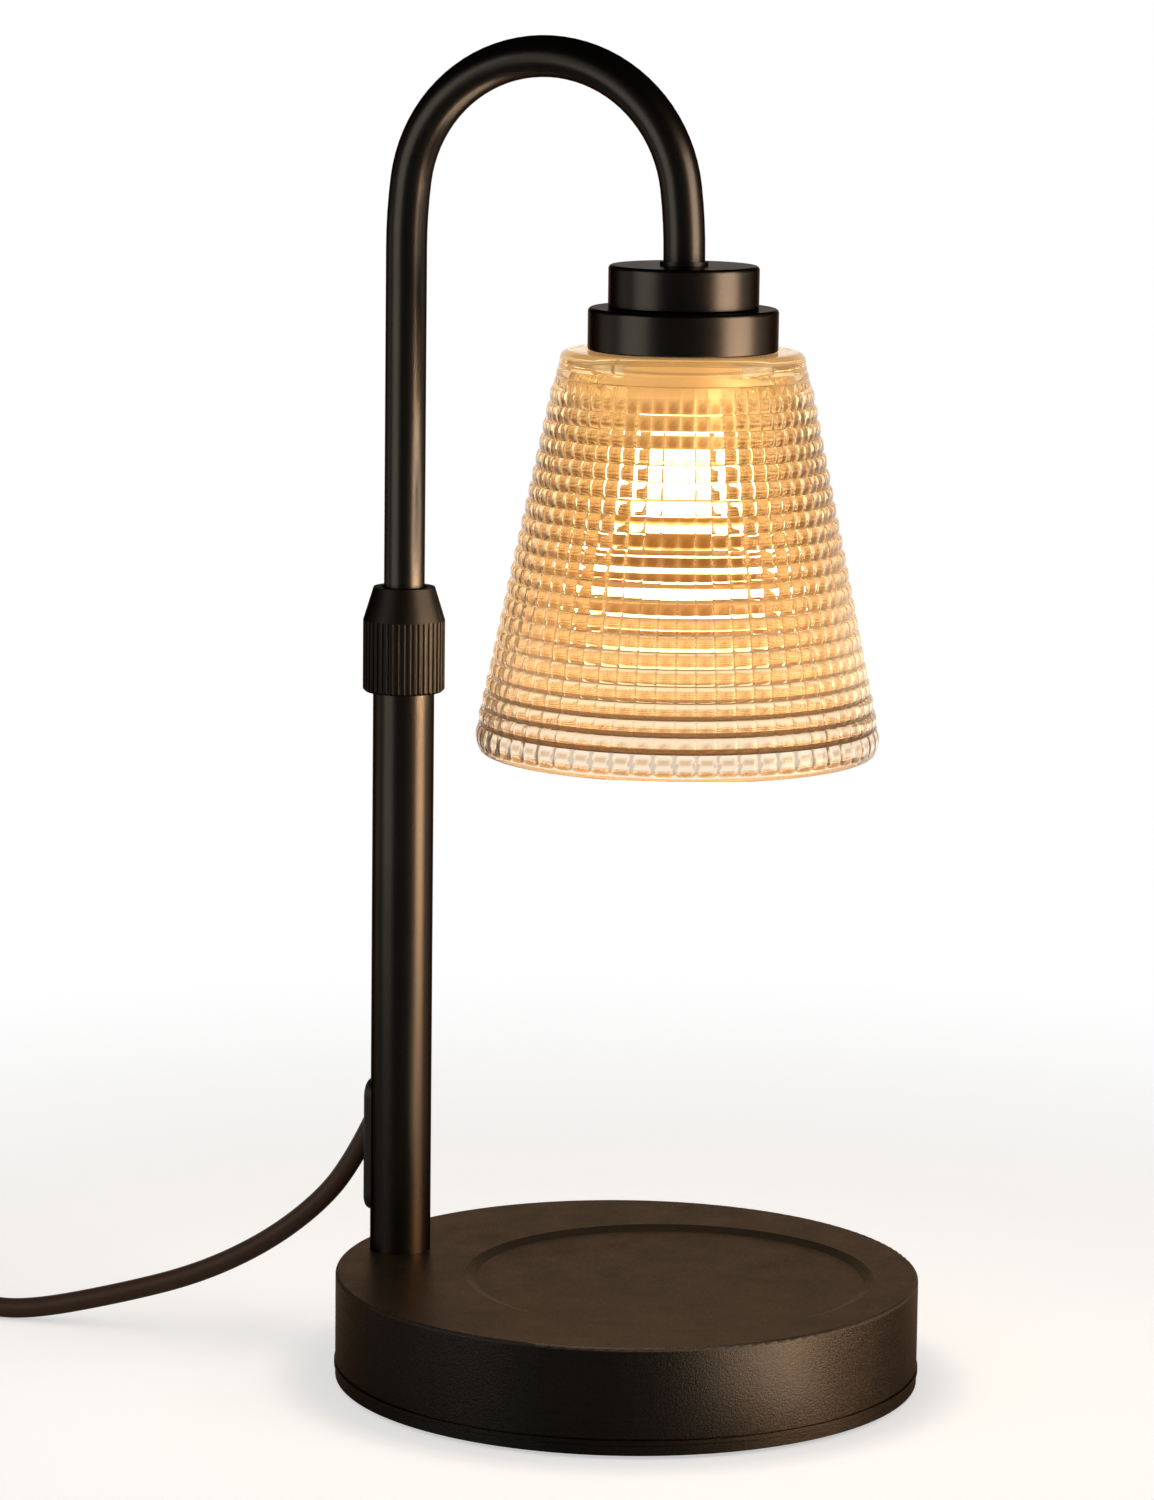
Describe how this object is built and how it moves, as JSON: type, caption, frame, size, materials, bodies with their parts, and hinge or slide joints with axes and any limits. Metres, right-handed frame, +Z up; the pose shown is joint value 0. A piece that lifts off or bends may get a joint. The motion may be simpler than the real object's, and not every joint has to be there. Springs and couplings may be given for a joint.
{
  "type": "candle warmer lamp",
  "caption": "Telescoping gooseneck lamp on a weighted round base, with a pressed glass cone shade and reflector bulb that warm a candle from above, and a corded in-line dimmer.",
  "frame": {"origin": "centre of the round base's underside", "axes": "+Z up along the pole, +X from the pole towards the head, +Y to the left of +X"},
  "size_m": [0.47, 0.1528, 0.3475],
  "materials": {
    "black_bronze_paint": "satin powder coat",
    "weight_iron": "as cast",
    "zinc_steel": "zinc plated",
    "brass": "plain",
    "nylon": "natural",
    "black_rubber": "matt",
    "brown_black_pvc": "matt",
    "black_plastic": "fine grain",
    "board_green": "satin",
    "clear_glass": "pressed, polished",
    "mirror_glass": "silvered inside",
    "ceramic": null
  },
  "bodies": {
    "root": {"base_housing": "black_bronze_paint", "bottom_cover": "black_bronze_paint", "foot_pad": "black_rubber", "counterweight": "weight_iron", "bottom_screws": "zinc_steel", "weight_screws": "zinc_steel", "lower_pole": "black_bronze_paint", "pole_plug": "zinc_steel", "pole_washer": "zinc_steel", "pole_bolt": "zinc_steel", "outlet_plate": "black_plastic", "strain_relief": "black_rubber", "lock_sleeve": "zinc_steel", "collet": "nylon", "dimmer_base": "black_plastic", "dimmer_cover": "black_plastic", "circuit_board": "board_green", "dial_control": "black_plastic", "timer_switch": "black_plastic", "dimmer_screws": "zinc_steel", "dimmer_boots": "brown_black_pvc", "cord_lamp_side": "brown_black_pvc", "cord_coil_side": "brown_black_pvc", "cord_plug_side": "brown_black_pvc", "lead_slack": "brown_black_pvc", "cord_coil": "brown_black_pvc", "plug_boot": "brown_black_pvc", "plug_body": "brown_black_pvc", "plug_blades": "brass"},
    "carriage": {"guide_bush": "nylon"},
    "arm": {"gooseneck_tube": "black_bronze_paint", "tube_clips": "zinc_steel", "lead_upper": "brown_black_pvc", "cap_upper": "black_bronze_paint", "cap_lower": "black_bronze_paint", "tube_ring": "black_bronze_paint", "arm_stud": "zinc_steel", "head_washer": "zinc_steel", "head_nut": "zinc_steel", "glass_shade": "clear_glass", "shade_carrier": "zinc_steel", "shade_gasket": "black_rubber", "shade_ring": "zinc_steel", "lamp_holder": "ceramic", "holder_contacts": "brass", "holder_screws": "zinc_steel"},
    "bulb": {"bulb_reflector": "mirror_glass", "bulb_lens": "clear_glass", "bulb_capsule": "clear_glass", "bulb_base": "ceramic", "bulb_pins": "zinc_steel"},
    "collar": {"lock_collar": "black_bronze_paint"},
    "dial": {"dimmer_dial": "black_plastic"},
    "button": {"timer_button": "black_plastic"}
  },
  "joints": [
    {"name": "height_slide", "type": "slide", "parent": "root", "child": "carriage", "axis": [0, 0, 1], "range_m": [-0.045, 0.018], "deforming": ["lead_slack"]},
    {"name": "head_swivel", "type": "hinge", "parent": "carriage", "child": "arm", "pos_m": [-0.0637, 0, 0.15], "axis": [0, 0, 1], "range_deg": [-90, 90]},
    {"name": "collar_twist", "type": "hinge", "parent": "root", "child": "collar", "pos_m": [-0.0637, 0, 0.19], "axis": [0, 0, 1], "range_deg": [0, 180]},
    {"name": "bulb_twist", "type": "hinge", "parent": "arm", "child": "bulb", "pos_m": [0.0117, 0, 0.25], "axis": [0, 0, 1], "range_deg": [0, 22]},
    {"name": "dial_turn", "type": "hinge", "parent": "root", "child": "dial", "pos_m": [-0.2405, -0.011, 0.0188], "axis": [0, 0, 1], "range_deg": [-135, 135]},
    {"name": "timer_press", "type": "slide", "parent": "root", "child": "button", "axis": [0, 0, -1], "range_m": [0, 0.001], "stiffness_N_per_m": 400, "springref_m": -0.001}
  ]
}
